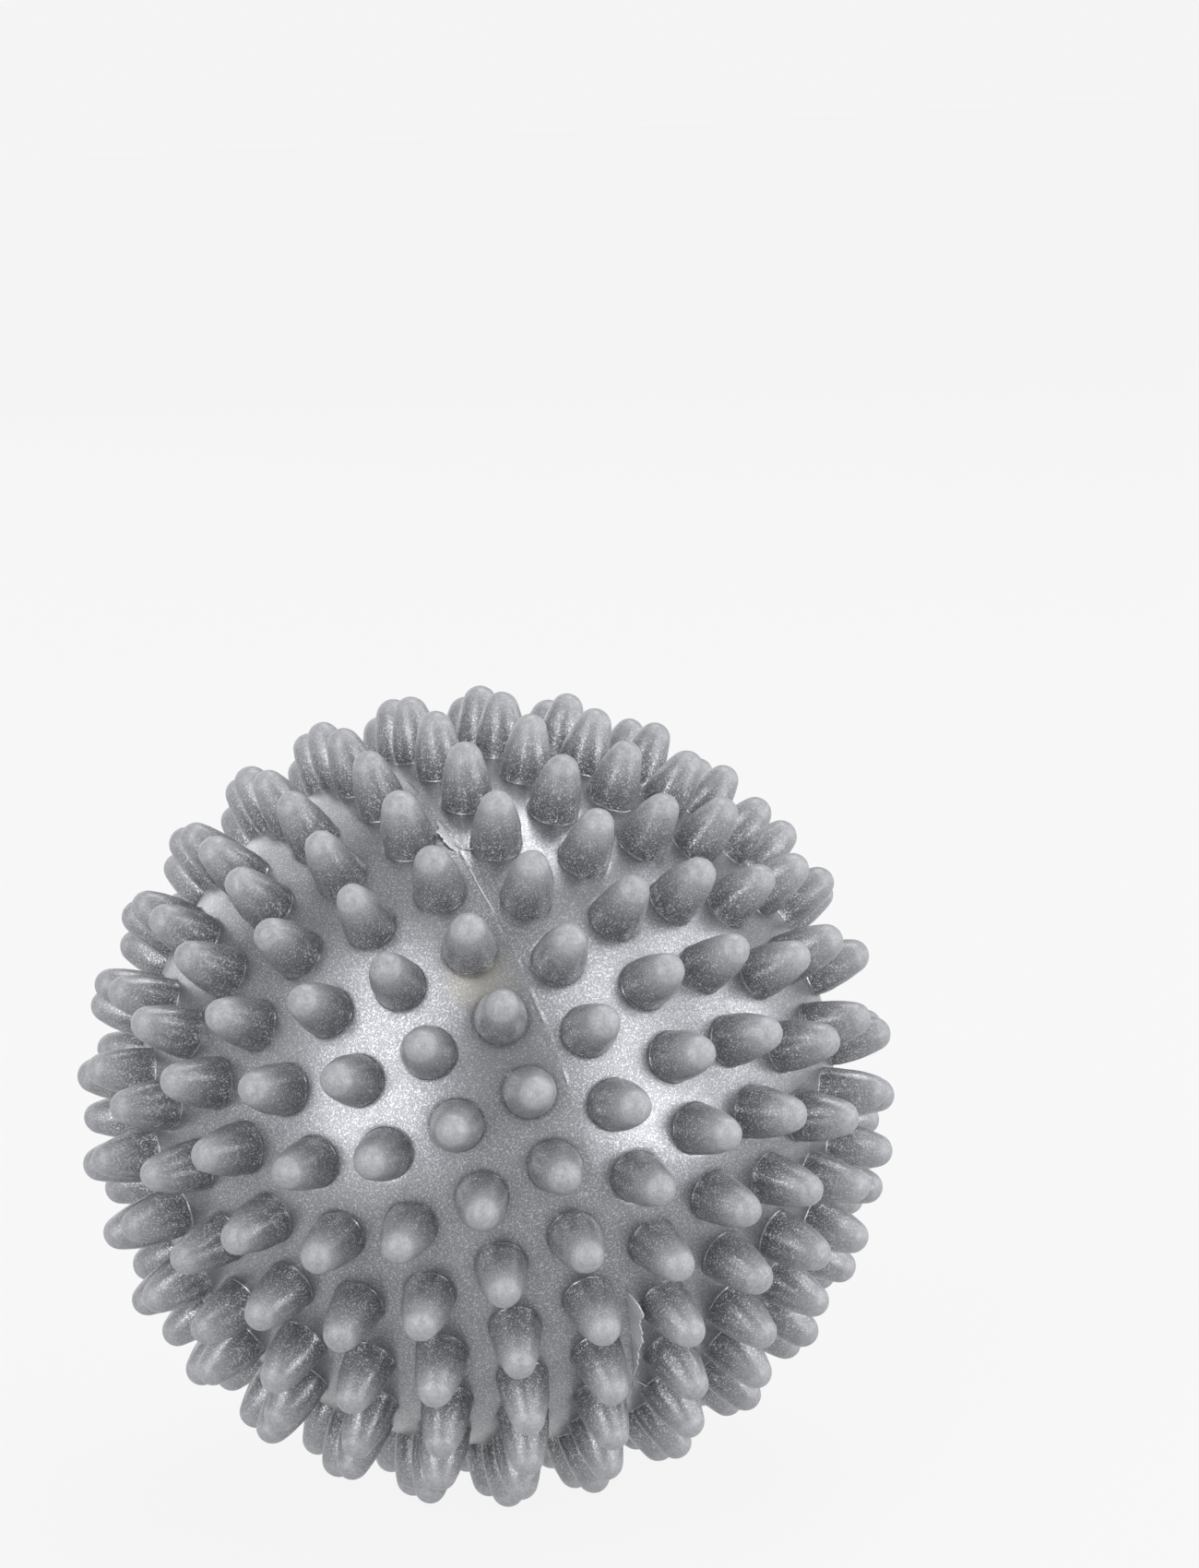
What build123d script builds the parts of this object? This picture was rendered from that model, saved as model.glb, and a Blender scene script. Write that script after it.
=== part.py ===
from build123d import *
import math
import os

# Spiky hollow dryer ball: two moulded half shells of soft PVC, welded together round their rims.
# Millimetres and degrees. Each half is drawn in the mould frame first: its origin is the ball's
# centre, +Z is the mould axis, which the mould opens along, and the seam lies in the XY plane.
# The whole ball is then turned into the part's own frame, where +Z is up, the ball rests on three
# of its nubs, and the mould axis leans up from +X towards +Z.

# Body
BODY_RADIUS = 29.5
WALL = 3.0

# Nubs: solid bullet shapes that stand square to the body
NUB_ROOT_RADIUS = 2.1
NUB_NOSE_RADIUS = 1.4
NUB_HEIGHT = 5.3
NUB_SUNK = 1.0  # how far a nub's foot reaches into the wall, so that the two fuse

# Nub rows: rings of constant latitude on either side of the seam, as far apart as the nubs of
# the widest ring are, each with as many nubs as fit at that spacing, and one nub on the pole
ROW_STEP = 12.0
FULL_RING = round(360 / ROW_STEP)
RIGHT_ROW_STARTS = (8.5, 5.0, 6.5, -3.5, -5.5, 0.0, 0.0)  # first longitude, from the seam to the pole
LEFT_ROW_STARTS = (2.0, 3.0, 3.5, 0.5, 10.5, 16.0, 0.0)

# Three nubs of the left half that the ball rests on, as (row from the seam, place in the row)
RESTING_NUBS = ((0, 9), (1, 8), (1, 9))

# Rim joint: a tongue on the left half sits in a groove of the right half
TONGUE_INNER_RADIUS = 27.2
TONGUE_THICKNESS = 1.1
TONGUE_HEIGHT = 1.3
GROOVE_PLAY = 0.05  # room left on each side of the tongue and over its end

# Weld bead: it fills a V groove round the outside of the joint and stands a little proud
WELD_DEPTH = 0.3
WELD_PROUD = 0.12


def direction(latitude, longitude):
    """Unit vector in the mould frame."""
    lat = math.radians(latitude)
    lon = math.radians(longitude)
    return Vector(math.cos(lat) * math.cos(lon), math.cos(lat) * math.sin(lon), math.sin(lat))


def row_latitude(row):
    """How far from the seam a row lies."""
    return (row + 0.5) * ROW_STEP


def row_count(row):
    """How many nubs fit round a row at the spacing of the widest ring."""
    return round(FULL_RING * math.cos(math.radians(row_latitude(row))))


def nub_direction(side, row, place, starts):
    """Where one nub points: side is 1 for the right half and -1 for the left one."""
    longitude = starts[row] + place * 360 / row_count(row)
    return direction(side * row_latitude(row), longitude)


def nub_directions(side, starts):
    """All of one half's nubs: the one on the pole, then the rows from the seam inwards."""
    found = [direction(side * 90, 0)]
    for row in range(len(starts)):
        for place in range(row_count(row)):
            found.append(nub_direction(side, row, place, starts))
    return found


def ring(*corners):
    """A solid ring about the mould axis, from its section's (radius, height) corners."""
    section = Plane.XZ * make_face(Polyline(*corners, close=True))
    return revolve(section, Axis.Z)


def arc_point(centre, radius, angle):
    """A (radius, height) point of a round stretch of a nub's outline: angle is up from level."""
    return centre[0] + radius * math.cos(angle), centre[1] + radius * math.sin(angle)


def nub():
    """One nub along +Z: its flank leaves the skin squarely and curves in to a ball nose."""
    nose_rise = NUB_HEIGHT - NUB_NOSE_RADIUS  # the nose's centre above the skin
    reach = NUB_ROOT_RADIUS**2 + nose_rise**2 - NUB_NOSE_RADIUS**2
    flank_radius = reach / (2 * (NUB_ROOT_RADIUS - NUB_NOSE_RADIUS))  # so that it meets the nose smoothly
    flank_centre = (NUB_ROOT_RADIUS - flank_radius, BODY_RADIUS)
    nose_centre = (0, BODY_RADIUS + nose_rise)
    lean = math.atan2(nose_rise, -flank_centre[0])
    foot = (NUB_ROOT_RADIUS, BODY_RADIUS - NUB_SUNK)
    root = (NUB_ROOT_RADIUS, BODY_RADIUS)
    shoulder = arc_point(nose_centre, NUB_NOSE_RADIUS, lean)
    tip = (0, BODY_RADIUS + NUB_HEIGHT)
    outline = [
        Polyline(tip, (0, foot[1]), foot, root),
        ThreePointArc(root, arc_point(flank_centre, flank_radius, lean / 2), shoulder),
        ThreePointArc(shoulder, arc_point(nose_centre, NUB_NOSE_RADIUS, (lean + math.pi / 2) / 2), tip),
    ]
    return revolve(Plane.XZ * make_face(outline), Axis.Z)


def dome(side):
    """Half of the hollow body, with its rim in the seam plane."""
    low, high = (0, 90) if side > 0 else (-90, 0)
    outside = Sphere(BODY_RADIUS, arc_size1=low, arc_size2=high, align=None)
    inside = Sphere(BODY_RADIUS - WALL, arc_size1=low, arc_size2=high, align=None)
    return outside - inside


def weld_groove():
    """The V groove that the two rims make together, as the solid that is cut from them."""
    root = BODY_RADIUS - WELD_DEPTH
    out = BODY_RADIUS + WELD_DEPTH
    return ring((root, 0), (out, 2 * WELD_DEPTH), (out, -2 * WELD_DEPTH))


def tongue():
    """The ring that stands up from the left half's rim."""
    outer = TONGUE_INNER_RADIUS + TONGUE_THICKNESS
    return ring(
        (TONGUE_INNER_RADIUS, -WALL / 2),
        (outer, -WALL / 2),
        (outer, TONGUE_HEIGHT),
        (TONGUE_INNER_RADIUS, TONGUE_HEIGHT),
    )


def tongue_groove():
    """The ring-shaped groove in the right half's rim."""
    inner = TONGUE_INNER_RADIUS - GROOVE_PLAY
    outer = TONGUE_INNER_RADIUS + TONGUE_THICKNESS + GROOVE_PLAY
    end = TONGUE_HEIGHT + GROOVE_PLAY
    return ring((inner, -end), (outer, -end), (outer, end), (inner, end))


def with_nubs(shell, side, starts):
    """Fuse one half's nubs to its shell."""
    one = nub()
    placed = [Plane(origin=(0, 0, 0), z_dir=way).location * one for way in nub_directions(side, starts)]
    return shell + placed


def right_half_shell():
    shell = dome(1) - weld_groove() - tongue_groove()
    return with_nubs(shell, 1, RIGHT_ROW_STARTS)


def left_half_shell():
    shell = dome(-1) - weld_groove() + tongue()
    return with_nubs(shell, -1, LEFT_ROW_STARTS)


def seam_weld():
    """The weld bead: a wedge in the V groove with a low rounded crown."""
    root = BODY_RADIUS - WELD_DEPTH
    section = [
        Polyline((BODY_RADIUS, WELD_DEPTH), (root, 0), (BODY_RADIUS, -WELD_DEPTH)),
        ThreePointArc(
            (BODY_RADIUS, -WELD_DEPTH), (BODY_RADIUS + WELD_PROUD, 0), (BODY_RADIUS, WELD_DEPTH)
        ),
    ]
    return revolve(Plane.XZ * make_face(section), Axis.Z)


def resting_frame():
    """The part's own axes in the mould frame: the three resting nubs point down, level."""
    tips = [nub_direction(-1, row, place, LEFT_ROW_STARTS) for row, place in RESTING_NUBS]
    down = (tips[1] - tips[0]).cross(tips[2] - tips[0]).normalized()
    if down.dot(tips[0]) < 0:
        down = -down
    up = -down
    mould_axis = Vector(0, 0, 1)
    towards = mould_axis - up * mould_axis.dot(up)
    return Plane(origin=(0, 0, 0), x_dir=towards, z_dir=up)


def main():
    os.makedirs("parts", exist_ok=True)
    pose = resting_frame().location.inverse()
    pieces = {
        "right_half_shell": right_half_shell(),
        "left_half_shell": left_half_shell(),
        "seam_weld": seam_weld(),
    }
    for name, piece in pieces.items():
        export_step(pose * piece, f"parts/{name}.step")


main()
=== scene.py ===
import math
import random

import bmesh
import bpy
import numpy as np
from mathutils import Matrix, Vector, noise
from mathutils.geometry import delaunay_2d_cdt


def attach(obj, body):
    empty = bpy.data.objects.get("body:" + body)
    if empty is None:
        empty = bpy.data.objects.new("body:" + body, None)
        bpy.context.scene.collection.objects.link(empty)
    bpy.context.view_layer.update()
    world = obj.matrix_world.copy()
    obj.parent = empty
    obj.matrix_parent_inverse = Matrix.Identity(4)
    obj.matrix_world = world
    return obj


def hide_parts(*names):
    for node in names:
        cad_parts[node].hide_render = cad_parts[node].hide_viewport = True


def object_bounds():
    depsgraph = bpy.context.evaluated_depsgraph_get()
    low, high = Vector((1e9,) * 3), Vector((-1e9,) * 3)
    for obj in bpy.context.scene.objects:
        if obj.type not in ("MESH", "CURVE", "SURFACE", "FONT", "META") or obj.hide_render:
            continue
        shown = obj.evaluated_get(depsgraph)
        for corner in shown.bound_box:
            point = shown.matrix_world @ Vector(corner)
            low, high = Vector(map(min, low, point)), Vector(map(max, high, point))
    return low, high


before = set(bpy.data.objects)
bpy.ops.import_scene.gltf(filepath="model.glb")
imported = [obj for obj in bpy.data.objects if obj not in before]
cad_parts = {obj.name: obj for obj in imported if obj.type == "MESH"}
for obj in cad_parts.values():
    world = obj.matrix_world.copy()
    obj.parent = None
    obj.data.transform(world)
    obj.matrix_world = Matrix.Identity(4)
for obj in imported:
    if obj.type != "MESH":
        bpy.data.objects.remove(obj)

CAD_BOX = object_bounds()
random.seed(7)

# A spiky dryer ball in grey soft PVC. Metres. Each half shell is drawn in the mould frame, with the
# mould axis along its +Z and the seam in its XY plane, and then turned to where the CAD halves lie.

MM = 0.001

# Sizes of the CAD model that the detailed meshes keep to
BODY_RADIUS = 29.5 * MM
WALL = 3.0 * MM
NUB_ROOT_RADIUS = 2.1 * MM
NUB_NOSE_RADIUS = 1.4 * MM
NUB_HEIGHT = 5.3 * MM
WELD_DEPTH = 0.3 * MM
WELD_PROUD = 0.12 * MM
TONGUE_INNER_RADIUS = 27.2 * MM
TONGUE_OUTER_RADIUS = 28.3 * MM
TONGUE_HEIGHT = 1.3 * MM
GROOVE_PLAY = 0.05 * MM

# Detail of the meshes
NUB_SIDES = 32
FLANK_ROWS = 7
NOSE_ROWS = 6
SEAM_SIDES = 320
SKIN_SPACING = 0.9 * MM  # between the points that carry the bare skin between the nubs
PAINTED_SHADE_REACH = 1.6 * MM  # how far from a nub's root the painted shade on the skin reaches
MOAT_REACH = 0.34 * MM  # the shallow mark that the mould left round each nub's root
MOAT_DEPTH = 0.035 * MM
WELD_SIDES = 960
SHARP = math.radians(35)  # edges that turn more than this stay crisp
INNER_STEPS = 24  # steps from the rim down the inside to the pole
SAME_NUB = 0.999  # tips whose directions have at least this dot product belong to one nub

# What is stored on the meshes for the materials: height is 0 at a nub's root and 1 at its tip. On the
# # skin it is negative, down to -1 where no nub is near, and sets the painted shade round the nubs. tone is
# each nub's own shade, from 0 to 1.
BARE_SKIN = -1.0
PLAIN_TONE = 0.5

# Small differences from nub to nub, as shares of the designed size where they aren't lengths
NUB_LENGTHS = (0.975, 0.998)
NUB_GIRTHS = (0.975, 1.02)
NUB_OVAL = (0.0, 0.022)
NUB_LEAN = (0.0, 0.16 * MM)
NUB_FADE = 6  # the differences in girth grow from none at the root to full at 1/6 of the height
NUB_DENTS = ((0.035, 1.6 * MM), (0.012, 0.6 * MM))  # depth as a share of the radius, and length
SKIN_SWELL = 0.0006  # gentle unevenness of the skin, as a share of its radius
SKIN_SWELL_LENGTH = 9 * MM


# ---- the frame's own geometry ---------------------------------------------------------------------

def node_points(name):
    """A CAD node's vertices, as an array."""
    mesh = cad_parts[name].data
    flat = np.empty(len(mesh.vertices) * 3)
    mesh.vertices.foreach_get("co", flat)
    return flat.reshape(-1, 3)


def mould_frame():
    """The turn from the mould frame to the row frame: its +Z is square to the seam weld."""
    ring = node_points("seam_weld")
    axis = Vector(np.linalg.svd(ring - ring.mean(axis=0), full_matrices=False)[2][2])
    if axis.dot(Vector(node_points("right_half_shell").mean(axis=0))) < 0:
        axis.negate()
    across = Vector((0, -1, 0))
    across = (across - axis * across.dot(axis)).normalized()
    return Matrix((across, axis.cross(across), axis)).transposed()


def nub_axes(name):
    """Unit vectors along a half's nubs, read off the tips of its CAD mesh."""
    points = node_points(name)
    reach = np.linalg.norm(points, axis=1)
    tips = points[reach > BODY_RADIUS + NUB_HEIGHT - 0.01 * MM]
    tips = tips / np.linalg.norm(tips, axis=1)[:, None]
    found = []
    for tip in tips:
        if all(tip @ other < SAME_NUB for other in found):
            near = tips[tips @ tip > SAME_NUB].mean(axis=0)
            found.append(near / np.linalg.norm(near))
    return found


TO_ROW = mould_frame()
TO_MOULD = np.array(TO_ROW).T


# ---- the half shells -------------------------------------------------------------------------------

def square_to(axis):
    """Two unit vectors square to axis and to each other, the first one towards the pole."""
    pole = np.array((0.0, 0.0, 1.0)) if abs(axis[2]) < 0.99 else np.array((1.0, 0.0, 0.0))
    first = pole - axis * (axis @ pole)
    first = first / np.linalg.norm(first)
    return first, np.cross(axis, first)


def flatten(points):
    """Stereographic projection of unit vectors from the far pole: circles stay circles."""
    return points[:, :2] / (1 + points[:, 2:3])


def wobble(point, scale, seed=0.0):
    """Smooth noise in -1..1 that changes over a length of scale."""
    return noise.noise(Vector(point) / scale + Vector((seed, seed, seed)))


class Nub:
    """One nub's own small differences from the next: lean, length, girth and dents."""

    def __init__(self, axis):
        self.axis = axis
        self.first, self.second = square_to(axis)
        self.seed = random.uniform(0, 50)
        self.length = random.uniform(*NUB_LENGTHS)
        self.girth = random.uniform(*NUB_GIRTHS)
        self.oval = random.uniform(*NUB_OVAL)
        self.oval_turn = random.uniform(0, math.tau)
        lean = random.uniform(*NUB_LEAN)
        lean_turn = random.uniform(0, math.tau)
        self.lean = lean * (math.cos(lean_turn) * self.first + math.sin(lean_turn) * self.second)
        self.tone = random.uniform(0, 1)

    def point(self, radius, height, turn):
        """A point of the nub: height is above the skin, measured along the nub's axis."""
        ways = math.cos(turn) * self.first + math.sin(turn) * self.second
        skin = math.sqrt(BODY_RADIUS**2 - min(radius, NUB_ROOT_RADIUS) ** 2)
        share = min(max(height / NUB_HEIGHT, 0), 1)
        grown = min(share * NUB_FADE, 1)
        girth = 1 + (self.girth - 1) * grown + self.oval * grown * math.cos(2 * turn + self.oval_turn)
        spot = self.axis * height + ways * radius
        dent = grown * sum(deep * wobble(spot, long, self.seed) for deep, long in NUB_DENTS)
        out = radius * (girth + dent)
        rise = height * (1 + (self.length - 1) * share)
        return self.axis * (skin + rise) + ways * out + self.lean * share**2


def nub_profile():
    """(radius, height) rows of a nub from its mark on the skin up to just below its tip."""
    rows = [  # the outer slope of the mark, its bottom, and the foot of the nub
        (NUB_ROOT_RADIUS + 0.55 * MOAT_REACH, -0.7 * MOAT_DEPTH),
        (NUB_ROOT_RADIUS + 0.14 * MOAT_REACH, -MOAT_DEPTH),
        (NUB_ROOT_RADIUS - 0.02 * MM, 0.06 * MM),
    ]
    nose_rise = NUB_HEIGHT - NUB_NOSE_RADIUS
    reach = NUB_ROOT_RADIUS**2 + nose_rise**2 - NUB_NOSE_RADIUS**2
    flank_radius = reach / (2 * (NUB_ROOT_RADIUS - NUB_NOSE_RADIUS))
    flank_centre = NUB_ROOT_RADIUS - flank_radius
    lean = math.atan2(nose_rise, -flank_centre)
    for step in range(1, FLANK_ROWS + 1):
        angle = lean * step / FLANK_ROWS
        rows.append((flank_centre + flank_radius * math.cos(angle), flank_radius * math.sin(angle)))
    for step in range(1, NOSE_ROWS):
        angle = lean + (math.pi / 2 - lean) * step / NOSE_ROWS
        rows.append((NUB_NOSE_RADIUS * math.cos(angle), nose_rise + NUB_NOSE_RADIUS * math.sin(angle)))
    return rows


def skin_points(axes, edge):
    """Evenly spread unit vectors over the bare skin, clear of the nubs and of the seam's edge."""
    spacing = SKIN_SPACING / BODY_RADIUS
    total = round(4 * math.pi / (spacing**2 * math.sqrt(3) / 2))
    golden = math.pi * (3 - math.sqrt(5))
    index = np.arange(total)
    height = 1 - (2 * index + 1) / total
    keep = height > edge + 0.5 * spacing
    height, index = height[keep], index[keep]
    across = np.sqrt(1 - height**2)
    points = np.stack([across * np.cos(golden * index), across * np.sin(golden * index), height], 1)
    room = (NUB_ROOT_RADIUS + MOAT_REACH) / BODY_RADIUS + 0.45 * spacing
    clear = (points @ np.array(axes).T).max(axis=1) < math.cos(room)
    return points[clear]


class Shell:
    """Collects one half shell's mesh: points in the mould frame's half with its pole at +Z."""

    def __init__(self):
        self.points = []
        self.faces = []
        self.height = []
        self.tone = []

    def add(self, point, height=BARE_SKIN, tone=PLAIN_TONE):
        """Adds a point with its height and tone, and returns its number."""
        self.points.append(point)
        self.height.append(height)
        self.tone.append(tone)
        return len(self.points) - 1

    def band(self, low, high):
        """Quads between two rings of the same number of points."""
        count = len(low)
        for k in range(count):
            n = (k + 1) % count
            self.faces.append((low[k], low[n], high[n], high[k]))

    def cap(self, ring, apex):
        """Triangles from a ring of points to one point."""
        count = len(ring)
        for k in range(count):
            self.faces.append((ring[k], ring[(k + 1) % count], apex))


def clearance(point, axes):
    """How far a point of the skin is from the nearest nub's root, as a share of the painted shade's reach, 0
    to 1.
    """
    away = math.acos(min((axes @ point).max(), 1.0)) * BODY_RADIUS - NUB_ROOT_RADIUS
    return min(max(away / PAINTED_SHADE_REACH, 0.0), 1.0)


def add_skin(shell, nubs, edge):
    """The outer skin with a round hole under each nub. Returns the holes' rings and the seam ring."""
    reach = (NUB_ROOT_RADIUS + MOAT_REACH) / BODY_RADIUS
    groups = []
    for nub in nubs:
        turns = [math.tau * k / NUB_SIDES for k in range(NUB_SIDES)]
        side = [math.cos(t) * nub.first + math.sin(t) * nub.second for t in turns]
        groups.append(np.array([math.cos(reach) * nub.axis + math.sin(reach) * s for s in side]))
    turns = np.arange(SEAM_SIDES) * math.tau / SEAM_SIDES
    level = math.sqrt(1 - edge**2)
    groups.append(np.stack([level * np.cos(turns), level * np.sin(turns), np.full(SEAM_SIDES, edge)], 1))
    groups.append(skin_points([n.axis for n in nubs], edge))
    points = np.concatenate(groups)

    axes = np.array([n.axis for n in nubs])
    owner = np.concatenate([np.full(len(g), i) for i, g in enumerate(groups)])
    rings = []
    first = 0
    for group in groups[:-1]:
        rings.append(list(range(first, first + len(group))))
        first += len(group)
    edges = [(r[k], r[(k + 1) % len(r)]) for r in rings for k in range(len(r))]
    flat = [Vector(p) for p in flatten(points)]
    _, _, faces, came_from, _, _ = delaunay_2d_cdt(flat, edges, [], 0, 1e-9)
    back = [sources[0] for sources in came_from]

    for point, whose in zip(points, owner):
        around_nub = whose < len(nubs)
        tone = nubs[whose].tone if around_nub else PLAIN_TONE
        swell = 1 + SKIN_SWELL * wobble(point * BODY_RADIUS, SKIN_SWELL_LENGTH) * (not around_nub)
        shell.add(point * BODY_RADIUS * swell, -clearance(point, axes), tone)
    for face in faces:
        corners = [back[i] for i in face]
        whose = {int(owner[i]) for i in corners}
        if len(whose) == 1 and whose.pop() < len(nubs):
            continue
        shell.faces.append(tuple(corners))
    return rings[: len(nubs)], rings[len(nubs)]


def add_nub(shell, nub, hole, rows):
    """Rings of points up from the hole in the skin to the tip."""
    below = hole
    for radius, height in rows:
        ring = []
        for k in range(NUB_SIDES):
            turn = math.tau * k / NUB_SIDES
            share = max(height, 0.0) / NUB_HEIGHT
            ring.append(shell.add(nub.point(radius, height, turn), share, nub.tone))
        shell.band(below, ring)
        below = ring
    tip = shell.add(nub.point(0, NUB_HEIGHT, 0), 1.0, nub.tone)
    shell.cap(below, tip)


def add_rim(shell, seam_ring, has_tongue):
    """From the seam's edge over the rim, with its tongue or groove, and round the inside."""
    end = TONGUE_HEIGHT if has_tongue else TONGUE_HEIGHT + GROOVE_PLAY
    play = 0 if has_tongue else GROOVE_PLAY
    depth = -end if has_tongue else end
    outer = TONGUE_OUTER_RADIUS + play
    inner = TONGUE_INNER_RADIUS - play
    hollow = BODY_RADIUS - WALL
    rim = BODY_RADIUS - WELD_DEPTH
    rows = [(rim, 0), (outer, 0), (outer, depth), (inner, depth), (inner, 0), (hollow, 0)]
    for step in range(1, INNER_STEPS):
        angle = math.pi / 2 * step / INNER_STEPS
        rows.append((hollow * math.cos(angle), hollow * math.sin(angle)))
    below = seam_ring
    for radius, height in rows:
        ring = []
        for k in range(SEAM_SIDES):
            turn = math.tau * k / SEAM_SIDES
            ring.append(shell.add(np.array((radius * math.cos(turn), radius * math.sin(turn), height))))
        shell.band(below, ring)
        below = ring
    shell.cap(below, shell.add(np.array((0, 0, hollow))))


def to_object(shell, name, turn, material):
    """A mesh object from the collected points, turned into the row frame."""
    mesh = bpy.data.meshes.new(name)
    mesh.from_pydata([turn @ Vector(p) for p in shell.points], [], shell.faces)
    for label in ("height", "tone"):
        values = mesh.attributes.new(label, "FLOAT", "POINT")
        values.data.foreach_set("value", getattr(shell, label))
    mesh.validate()
    mesh.update()
    finish_mesh(mesh)
    piece = bpy.data.objects.new(name, mesh)
    bpy.context.scene.collection.objects.link(piece)
    mesh.materials.append(material)
    return piece


def finish_mesh(mesh):
    """Faces turned outwards, and smooth shading that breaks only at sharp corners."""
    work = bmesh.new()
    work.from_mesh(mesh)
    bmesh.ops.recalc_face_normals(work, faces=work.faces)
    for edge in work.edges:
        edge.smooth = not (edge.is_manifold and edge.calc_face_angle(0) > SHARP)
    for face in work.faces:
        face.smooth = True
    work.to_mesh(mesh)
    work.free()


def half_shell(node, side, material):
    """One half: skin, nubs and rim. side is 1 for the right half and -1 for the left one."""
    flip = Matrix(((1, 0, 0), (0, 1, 0), (0, 0, side)))
    axes = [np.array(flip) @ (TO_MOULD @ axis) for axis in nub_axes(node)]
    axes.sort(key=lambda a: (round(a[2], 3), math.atan2(a[1], a[0])))
    nubs = [Nub(axis) for axis in axes]
    shell = Shell()
    holes, seam_ring = add_skin(shell, nubs, WELD_DEPTH / BODY_RADIUS)
    rows = nub_profile()
    for nub, hole in zip(nubs, holes):
        add_nub(shell, nub, hole, rows)
    add_rim(shell, seam_ring, side < 0)
    piece = to_object(shell, node.replace("_shell", ""), TO_ROW @ flip, material)
    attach(piece, "root")
    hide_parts(node)


# ---- the seam --------------------------------------------------------------------------------------

WELD_SWELL = ((0.4, 3.1 * MM, 3.0), (0.3, 0.9 * MM, 8.0))  # the crown's waves: share, length, seed
WELD_CROWN = (0.02, 0.3)  # least and most height of the weld's crown, as shares of WELD_PROUD
WELD_FOOT_LOW = 0.002 * MM  # the bead's edges lie this far under the skin
WELD_FOOT_HIGH = 0.004 * MM  # and this far above it, just inside them
FIN_STEPS = 36
FIN_LEVELS = 6
FIN_THICKNESS = 0.045 * MM
FIN_SINK = 0.05 * MM  # how deep a fin's root is sunk into the seam
HAIR_RADIUS = 0.045 * MM
HAIR_THINNING = 0.6  # how much a hair thins for each mm that it rises over the skin


def seam_point(turn, radius, height):
    """A point near the seam, in the mould frame, as a Vector."""
    return Vector((radius * math.cos(turn), radius * math.sin(turn), height))


def weld_bead(material):
    """The raised line round the seam: its crown is uneven and sinks away here and there."""
    verts = []
    faces = []
    for k in range(WELD_SIDES):
        turn = math.tau * k / WELD_SIDES
        spot = seam_point(turn, BODY_RADIUS, 0)
        swell = 0.08 + sum(part * wobble(spot, long, seed) for part, long, seed in WELD_SWELL)
        proud = WELD_PROUD * min(max(swell, WELD_CROWN[0]), WELD_CROWN[1])
        half = WELD_DEPTH * (0.35 + 0.2 * wobble(spot, 1.7 * MM, 5.0))
        drift = 0.25 * WELD_DEPTH * wobble(spot, 4.0 * MM, 11.0)
        section = [
            (BODY_RADIUS - WELD_DEPTH, 0),
            (BODY_RADIUS - WELD_FOOT_LOW, -WELD_DEPTH),
            (BODY_RADIUS + WELD_FOOT_HIGH, drift - half),
            (BODY_RADIUS + proud, drift - 0.35 * half),
            (BODY_RADIUS + proud, drift + 0.35 * half),
            (BODY_RADIUS + WELD_FOOT_HIGH, drift + half),
            (BODY_RADIUS - WELD_FOOT_LOW, WELD_DEPTH),
        ]
        verts += [TO_ROW @ seam_point(turn, radius, height) for radius, height in section]
    count = len(section)
    for k in range(WELD_SIDES):
        n = (k + 1) % WELD_SIDES
        for i in range(count):
            j = (i + 1) % count
            faces.append((k * count + i, k * count + j, n * count + j, n * count + i))
    return plain_piece("seam_weld_bead", verts, faces, material)


def plain_piece(name, verts, faces, material):
    """A mesh object that rides with the ball, with the material it is given."""
    mesh = bpy.data.meshes.new(name)
    mesh.from_pydata(verts, [], faces)
    bare = mesh.attributes.new("height", "FLOAT", "POINT")
    bare.data.foreach_set("value", [BARE_SKIN] * len(verts))
    mesh.validate()
    finish_mesh(mesh)
    mesh.materials.append(material)
    piece = bpy.data.objects.new(name, mesh)
    bpy.context.scene.collection.objects.link(piece)
    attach(piece, "root")
    return piece


def flash_fin(name, start, end, tall, peak, lean, material):
    """A thin torn fin of flash along the seam, from start to end in degrees round it.

    It is tallest at peak, a share of its length, and tapers to nothing at both ends. lean is how far it
    leans to a side for its height: above 0 towards the right half.
    """
    steps = FIN_STEPS
    levels = FIN_LEVELS
    verts = []
    faces = []
    for side in (-1, 1):
        for i in range(steps + 1):
            share = i / steps
            turn = math.radians(start + (end - start) * share)
            spot = seam_point(turn, BODY_RADIUS, 0)
            ragged = 0.75 + 0.35 * wobble(spot, 1.1 * MM, 21.0) + 0.2 * wobble(spot, 0.35 * MM, 4.0)
            taper = min(share / peak, (1 - share) / (1 - peak)) ** 0.8
            top = tall * taper * max(ragged, 0.15)
            for j in range(levels + 1):
                rise = top * j / levels
                curl = lean * rise * (0.4 + 0.6 * j / levels)
                curl += 0.12 * MM * wobble(spot, 2.0 * MM, 31.0) * j / levels
                slim = FIN_THICKNESS * (1.3 if j in (0, levels) else 0.5)  # thicker at the root and free edge
                root = BODY_RADIUS - FIN_SINK
                verts.append(TO_ROW @ seam_point(turn, root + rise, curl + side * slim))
    row = levels + 1
    sheet = (steps + 1) * row
    for i in range(steps):
        for j in range(levels):
            a = i * row + j
            faces.append((a, a + 1, a + row + 1, a + row))
            faces.append((sheet + a, sheet + a + row, sheet + a + row + 1, sheet + a + 1))
    border = [i * row for i in range(steps + 1)]
    border += [steps * row + j for j in range(1, levels + 1)]
    border += [i * row + levels for i in range(steps - 1, -1, -1)]
    border += [j for j in range(levels - 1, 0, -1)]
    for k in range(len(border)):
        a = border[k]
        b = border[(k + 1) % len(border)]
        faces.append((a, b, sheet + b, sheet + a))
    plain_piece(name, verts, faces, material)


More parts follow.
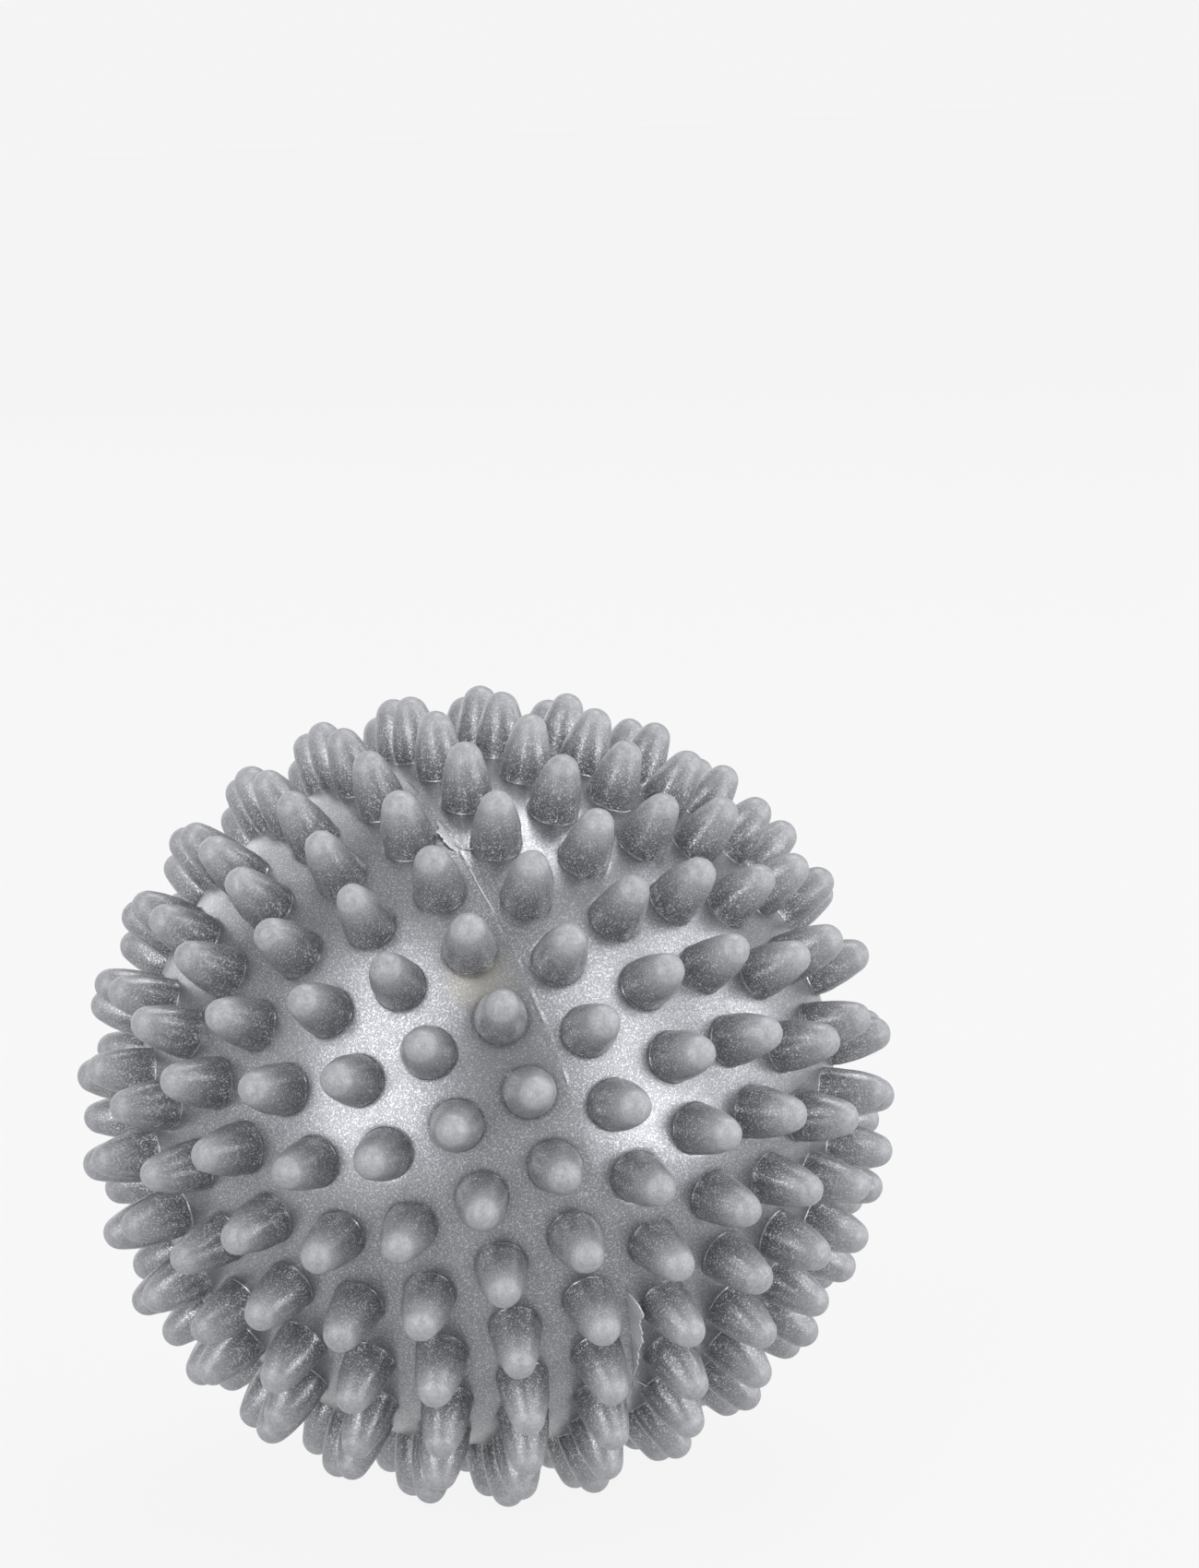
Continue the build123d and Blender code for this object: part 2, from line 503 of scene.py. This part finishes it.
def flash_hair(name, start, path, material):
    """A hair of flash from the seam: path is its points, each with a turn past start in degrees, a
    height off the seam's plane in mm and a rise over the skin in mm."""
    curve = bpy.data.curves.new(name, "CURVE")
    curve.dimensions = "3D"
    curve.bevel_depth = HAIR_RADIUS
    curve.bevel_resolution = 2
    curve.use_fill_caps = True
    line = curve.splines.new("NURBS")
    line.points.add(len(path) - 1)
    for point, (turn, height, rise) in zip(line.points, path):
        place = seam_point(math.radians(start + turn), BODY_RADIUS + rise * MM, height * MM)
        point.co = (*(TO_ROW @ place), 1)
        point.radius = 1 - HAIR_THINNING * rise
    line.order_u = 3
    line.use_endpoint_u = True
    piece = bpy.data.objects.new(name, curve)
    bpy.context.scene.collection.objects.link(piece)
    curve.materials.append(material)
    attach(piece, "root")


# ---- materials -------------------------------------------------------------------------------------

def from_centre(azimuth, elevation):
    """Unit vector from the ball's centre: azimuth turns from -Y towards +X."""
    around = math.radians(azimuth)
    up = math.radians(elevation)
    return Vector((math.cos(up) * math.sin(around), -math.cos(up) * math.cos(around), math.sin(up)))


STAIN = from_centre(-16.5, 32.5) * BODY_RADIUS  # a faint warm stain on the skin
STAIN_REACH = (3.4 * MM, 1.0 * MM)  # it is gone at the first distance and full at the second

# Lengths of the noise in the plastic, and below them the depths of its relief
FINE_GRAIN = 0.14 * MM
MOTTLE_GRAIN = 0.32 * MM
PATCH_GRAIN = 0.8 * MM
RELIEF_GRAIN = 1.3 * MM
CLOUD_GRAIN = 8 * MM
FLASH_GRAIN = 0.15 * MM
FINE_RELIEF = 0.03 * MM
COARSE_RELIEF = 0.05 * MM

# How far the plastic's colour goes towards the one of each mark
# the first share is painted shade round the nubs' roots, not a mark of the plastic
PAINTED_SHADE_SHARE = 0.22
STAIN_SHARE = 0.55
PATCH_SHARE = 0.12
RING_SHARE = 0.10

# Colours of the plastic, as linear red, green and blue
SKIN_DARK = (0.188, 0.193, 0.208)
SKIN_PALE = (0.212, 0.217, 0.232)
SKIN_SPECK = (0.288, 0.294, 0.311)
SKIN_GLINT = (0.45, 0.455, 0.475)
# painted shade: the skin is darkened round each nub's root, where the nubs shade it
PAINTED_SHADE_COLOUR = (0.110, 0.113, 0.122)
STAIN_COLOUR = (0.430, 0.395, 0.310)
# the flanks' dark colour is partly the plastic's own tone and partly painted shade low between the nubs
FLANK_DARK = (0.130, 0.134, 0.144)
FLANK_PALE = (0.235, 0.241, 0.255)
FLANK_SPARK = (0.80, 0.805, 0.82)
CAP_DARK = (0.172, 0.178, 0.191)
CAP_PALE = (0.204, 0.210, 0.224)
CAP_SPECK = (0.38, 0.385, 0.40)
CAP_GLINT = (0.62, 0.625, 0.64)
DISC_COLOUR = (0.42, 0.425, 0.44)
RING_COLOUR = (0.46, 0.465, 0.48)
# flash colours: paler than the skin, partly painted highlight of the lamps on the flap
FLASH_DARK = (0.36, 0.365, 0.38)
FLASH_PALE = (0.66, 0.665, 0.68)


class Nodes:
    """A material's node tree, with short calls for what the materials here use."""

    def __init__(self, name):
        self.material = bpy.data.materials.new(name)
        self.material.use_nodes = True
        self.tree = self.material.node_tree
        self.shader = self.tree.nodes["Principled BSDF"]
        self.place = self.tree.nodes.new("ShaderNodeTexCoord").outputs["Object"]

    def link(self, source, target):
        self.tree.links.new(source, target)

    def attribute(self, name):
        node = self.tree.nodes.new("ShaderNodeAttribute")
        node.attribute_name = name
        return node.outputs["Fac"]

    def grain(self, size, detail=2.0, roughness=0.5):
        node = self.tree.nodes.new("ShaderNodeTexNoise")
        node.inputs["Scale"].default_value = 1 / size
        node.inputs["Detail"].default_value = detail
        node.inputs["Roughness"].default_value = roughness
        self.link(self.place, node.inputs["Vector"])
        return node.outputs["Fac"]

    def away(self, spot):
        """How far the shaded point is from a spot of the ball."""
        node = self.tree.nodes.new("ShaderNodeVectorMath")
        node.operation = "DISTANCE"
        self.link(self.place, node.inputs[0])
        node.inputs[1].default_value = spot
        return node.outputs["Value"]

    def ramp(self, value, low, high, bottom=0.0, top=1.0):
        node = self.tree.nodes.new("ShaderNodeMapRange")
        node.inputs["From Min"].default_value = low
        node.inputs["From Max"].default_value = high
        node.inputs["To Min"].default_value = bottom
        node.inputs["To Max"].default_value = top
        self.link(value, node.inputs["Value"])
        return node.outputs["Result"]

    def math(self, kind, first, second):
        node = self.tree.nodes.new("ShaderNodeMath")
        node.operation = kind
        for socket, value in zip(node.inputs, (first, second)):
            if isinstance(value, (int, float)):
                socket.default_value = value
            else:
                self.link(value, socket)
        return node.outputs["Value"]

    def mix(self, amount, first, second):
        node = self.tree.nodes.new("ShaderNodeMix")
        node.data_type = "RGBA"
        for name, value in (("Factor", amount), ("A", first), ("B", second)):
            socket = [s for s in node.inputs if s.name == name and s.enabled][0]
            if isinstance(value, tuple):
                socket.default_value = (*value, 1)
            elif isinstance(value, (int, float)):
                socket.default_value = value
            else:
                self.link(value, socket)
        return [s for s in node.outputs if s.enabled][0]

    def bump(self, height, strength, distance, under=None):
        node = self.tree.nodes.new("ShaderNodeBump")
        node.inputs["Distance"].default_value = distance
        for socket, value in ((node.inputs["Strength"], strength), (node.inputs["Height"], height)):
            if isinstance(value, (int, float)):
                socket.default_value = value
            else:
                self.link(value, socket)
        if under:
            self.link(under, node.inputs["Normal"])
        return node.outputs["Normal"]


def soft_pvc():
    """Grey soft PVC with a silvery grain, on the halves and the weld.

    The skin shines like metal paint, with painted shade round each nub's root. The nubs' flanks are darker
    towards the root, partly the plastic's own tone and partly painted shade between the nubs, with sparks,
    and their caps are plainer, with a paler round mark on the tip, the disc, whose rim, the ring, is paler
    still.
    """
    n = Nodes("soft_pvc")
    height = n.attribute("height")
    tone = n.attribute("tone")
    on_nub = n.ramp(height, 0.0, 0.04)
    # from dark flank to pale cap: the darker lower flank is partly painted shade between the nubs
    on_cap = n.ramp(height, 0.04, 0.62)
    on_disc = n.ramp(height, 0.78, 0.86)
    on_ring = n.math("MULTIPLY", on_disc, n.ramp(height, 0.84, 0.93, 1.0, 0.0))
    # mask of the painted shade on the skin, deepest at each nub's root
    in_painted_shade = n.ramp(height, -0.75, -0.05)

    fine = n.grain(FINE_GRAIN, 1.0, 0.6)
    speck = n.ramp(fine, 0.44, 0.60)
    glint = n.ramp(fine, 0.60, 0.68)
    spark = n.ramp(fine, 0.56, 0.64)
    cloud = n.ramp(n.grain(CLOUD_GRAIN, 3.0), 0.35, 0.65)
    patch = n.ramp(n.grain(PATCH_GRAIN, 2.0), 0.35, 0.65)
    mottle = n.ramp(n.grain(MOTTLE_GRAIN, 2.0), 0.40, 0.62)
    near_stain = n.ramp(n.away(STAIN), *STAIN_REACH)
    near_stain = n.math("MULTIPLY", near_stain, n.ramp(cloud, 0.0, 1.0, 0.5, 1.0))

    skin = n.mix(speck, n.mix(cloud, SKIN_DARK, SKIN_PALE), SKIN_SPECK)
    skin = n.mix(glint, skin, SKIN_GLINT)
    # mixes in the painted shade round the nubs
    skin = n.mix(n.math("MULTIPLY", in_painted_shade, PAINTED_SHADE_SHARE), skin, PAINTED_SHADE_COLOUR)
    skin = n.mix(n.math("MULTIPLY", near_stain, STAIN_SHARE), skin, STAIN_COLOUR)

    # flank colour: partly the plastic's tone, partly painted shade towards the root
    flank = n.mix(speck, FLANK_DARK, FLANK_PALE)
    flank = n.mix(n.math("MULTIPLY", spark, patch), flank, FLANK_SPARK)

    cap_speck = n.math("MULTIPLY", speck, n.ramp(height, 0.5, 0.95, 0.42, 0.22))
    cap_glint = n.math("MULTIPLY", glint, n.ramp(height, 0.5, 0.95, 0.6, 0.0))
    disc = n.math("MULTIPLY", on_disc, n.ramp(mottle, 0.0, 1.0, 0.02, 0.22))
    cap = n.mix(tone, CAP_DARK, CAP_PALE)
    cap = n.mix(cap_speck, cap, CAP_SPECK)
    cap = n.mix(cap_glint, cap, CAP_GLINT)
    cap = n.mix(n.math("MULTIPLY", patch, PATCH_SHARE), cap, CAP_SPECK)
    cap = n.mix(disc, cap, DISC_COLOUR)
    cap = n.mix(n.math("MULTIPLY", on_ring, RING_SHARE), cap, RING_COLOUR)
    colour = n.mix(on_nub, skin, n.mix(on_cap, flank, cap))
    n.link(colour, n.shader.inputs["Base Color"])

    flank_metal = n.ramp(height, 0.0, 0.04, 0.80, 0.45)
    cap_metal = n.ramp(height, 0.10, 0.85, 0.80, 0.10)
    n.link(n.math("MINIMUM", flank_metal, cap_metal), n.shader.inputs["Metallic"])
    rough = n.ramp(fine, 0.40, 0.62, 0.36, 0.28)
    n.link(n.math("ADD", rough, n.ramp(height, 0.60, 0.95, 0.0, 0.16)), n.shader.inputs["Roughness"])
    n.shader.inputs["Coat Weight"].default_value = 0.06
    n.shader.inputs["Coat Roughness"].default_value = 0.3

    root_strength = n.ramp(height, 0.0, 0.1, 0.28, 0.38)
    grain_strength = n.math("MULTIPLY", root_strength, n.ramp(height, 0.55, 0.95, 1.0, 0.3))
    relief = n.bump(fine, grain_strength, FINE_RELIEF)
    relief = n.bump(n.grain(RELIEF_GRAIN, 2.0), 0.2, COARSE_RELIEF, relief)
    n.link(relief, n.shader.inputs["Normal"])
    return n.material


def flash_pvc():
    """The torn fins and hairs of flash: the same PVC, glossier and a little translucent, with a pale colour
    that is partly painted highlight.
    """
    n = Nodes("flash_pvc")
    fine = n.grain(FLASH_GRAIN, 2.0)
    # pale flash colour, partly painted highlight
    colour = n.mix(n.ramp(fine, 0.4, 0.7), FLASH_DARK, FLASH_PALE)
    n.link(colour, n.shader.inputs["Base Color"])
    n.link(n.ramp(fine, 0.3, 0.7, 0.4, 0.22), n.shader.inputs["Roughness"])
    n.link(n.bump(fine, 0.5, FINE_RELIEF), n.shader.inputs["Normal"])
    n.shader.inputs["Subsurface Weight"].default_value = 0.2
    n.shader.inputs["Subsurface Radius"].default_value = (0.001, 0.001, 0.001)
    n.shader.inputs["Subsurface Scale"].default_value = 0.3
    return n.material


def floor_material():
    """Plain pale floor, which glows just enough to be as light as the studio's horizon."""
    n = Nodes("pale_floor")
    n.shader.inputs["Base Color"].default_value = (0.03, 0.03, 0.03, 1)
    n.shader.inputs["Roughness"].default_value = 1.0
    n.shader.inputs["Specular IOR Level"].default_value = 0.0
    n.shader.inputs["Emission Color"].default_value = (1, 1, 1, 1)
    n.shader.inputs["Emission Strength"].default_value = 0.885
    return n.material


# ---- stage, light and camera -----------------------------------------------------------------------

# Shades of the studio from the horizon up
HORIZON = 0.91
WALLS = 0.36
OVERHEAD = 0.70

CAMERA_AZIMUTH = -16.43
CAMERA_ELEVATION = 14.73
CAMERA_DISTANCE = 0.354
CAMERA_HEADING = 18.23
CAMERA_PITCH = -10.54
CAMERA_ROLL = -2.73
CAMERA_LENS = 95.1

# Each lamp's azimuth and elevation in degrees, distance, (width, height) and power in watts
SOFTBOXES = {
    "left_softbox": (-53, 20, 0.9, (0.62, 1.4), 9.6),
    "right_softbox": (33, 18, 0.9, (0.56, 1.4), 7.2),
    "right_low_softbox": (38, -4.5, 0.2, (0.11, 0.034), 0.06),
    "left_low_softbox": (-58, -4.5, 0.2, (0.11, 0.034), 0.015),
    "left_side_softbox": (-95, 20, 0.9, (0.5, 1.0), 0.8),
    "right_side_softbox": (80, 20, 0.9, (0.5, 1.0), 4.6),
    "top_softbox": (132, 69, 0.9, (0.42, 0.42), 3.0),
    "back_softbox": (195, 25, 0.9, (0.8, 0.8), 2.2),
}

FLOOR_REACH = 4.0


def add_floor():
    """A square floor at the ball's lowest point."""
    size = FLOOR_REACH
    level = CAD_BOX[0][2]
    corners = [(-size, -size, level), (size, -size, level), (size, size, level), (-size, size, level)]
    mesh = bpy.data.meshes.new("floor")
    mesh.from_pydata(corners, [], [(0, 1, 2, 3)])
    mesh.materials.append(floor_material())
    floor = bpy.data.objects.new("floor", mesh)
    bpy.context.scene.collection.objects.link(floor)


def add_softbox(name, azimuth, elevation, distance, size, power):
    """A rectangular soft box that faces the ball's centre and doesn't show in the picture itself."""
    light = bpy.data.lights.new(name, "AREA")
    light.shape = "RECTANGLE"
    light.size, light.size_y = size
    light.energy = power
    lamp = bpy.data.objects.new(name, light)
    lamp.visible_camera = False
    bpy.context.scene.collection.objects.link(lamp)
    spot = from_centre(azimuth, elevation) * distance
    lamp.location = spot
    lamp.rotation_euler = (-spot).to_track_quat("-Z", "Y").to_euler()


def add_world():
    """A pale studio: white round the horizon, dimmer walls above it, and a little lighter overhead."""
    world = bpy.data.worlds.new("studio")
    world.use_nodes = True
    tree = world.node_tree
    place = tree.nodes.new("ShaderNodeTexCoord")
    split = tree.nodes.new("ShaderNodeSeparateXYZ")
    ramp = tree.nodes.new("ShaderNodeValToRGB")
    tree.links.new(place.outputs["Generated"], split.inputs["Vector"])
    tree.links.new(split.outputs["Z"], ramp.inputs["Fac"])
    tree.links.new(ramp.outputs["Color"], tree.nodes["Background"].inputs["Color"])
    stops = ramp.color_ramp.elements
    for position, shade in ((0.12, HORIZON), (0.30, WALLS), (0.80, WALLS), (1.0, OVERHEAD)):
        stop = stops.new(position)
        stop.color = (shade, shade, shade * 1.01, 1)
    stops.remove(stops[0])
    stops.remove(stops[-1])
    bpy.context.scene.world = world


def add_camera():
    """The camera at the photograph's angle."""
    data = bpy.data.cameras.new("camera")
    data.lens = CAMERA_LENS
    data.clip_start = 0.01
    camera = bpy.data.objects.new("camera", data)
    bpy.context.scene.collection.objects.link(camera)
    camera.location = from_centre(CAMERA_AZIMUTH, CAMERA_ELEVATION) * CAMERA_DISTANCE
    turn = Matrix.Rotation(math.radians(-CAMERA_HEADING), 3, "Z")
    tilt = Matrix.Rotation(math.radians(90 + CAMERA_PITCH), 3, "X")
    roll = Matrix.Rotation(math.radians(CAMERA_ROLL), 3, "Z")
    camera.rotation_euler = (turn @ tilt @ roll).to_euler()
    bpy.context.scene.camera = camera


add_camera()
add_floor()
add_world()
for name, (azimuth, elevation, distance, size, power) in SOFTBOXES.items():
    add_softbox(name, azimuth, elevation, distance, size, power)
bpy.context.scene.view_settings.view_transform = "Standard"

# Each fin of flash: start and end in degrees round the seam, height, peak and lean as in flash_fin
FLASH_FINS = {
    "flash_fin_low": (20.4, 42.0, 2.3 * MM, 0.06, 0.25),
    "flash_flap_high": (-67.0, -57.7, 0.5 * MM, 0.35, -2.4),
    "flash_line_high": (-57.6, -41.5, 0.2 * MM, 0.3, -0.4),
}
FLASH_STAR = -58.6  # degrees round the seam, where four of the hairs start

# Each hair of flash: its start in degrees round the seam and its path as in flash_hair
FLASH_HAIRS = {
    "flash_hair_a": (FLASH_STAR, [(0, 0.35, 0), (-0.8, 0.2, 0.2), (-2.0, 0.1, 0.3)]),
    "flash_hair_b": (FLASH_STAR, [(0, 0.35, 0), (-0.9, 0.6, 0.3), (-2.4, 0.9, 0.45)]),
    "flash_hair_c": (FLASH_STAR, [(0, 0.35, 0), (-0.3, 1.0, 0.3), (-1.2, 1.8, 0.45)]),
    "flash_hair_d": (FLASH_STAR, [(0, 0.35, 0), (0.6, 0.8, 0.15), (1.2, 1.3, 0.15)]),
    "flash_hair_e": (44.0, [(0, 0.3, 0), (2.4, 1.1, 0.12), (5.2, 1.7, 0.02)]),
    "flash_hair_f": (43.0, [(0, 0, 0), (1.5, 0.15, 0.15), (3.2, -0.1, 0.02)]),
}

pvc = soft_pvc()
flash = flash_pvc()
half_shell("right_half_shell", 1, pvc)
half_shell("left_half_shell", -1, pvc)
bead = weld_bead(pvc)
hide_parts("seam_weld")
for name, (start, end, tall, peak, lean) in FLASH_FINS.items():
    flash_fin(name, start, end, tall, peak, lean, flash)
for name, (start, path) in FLASH_HAIRS.items():
    flash_hair(name, start, path, flash)
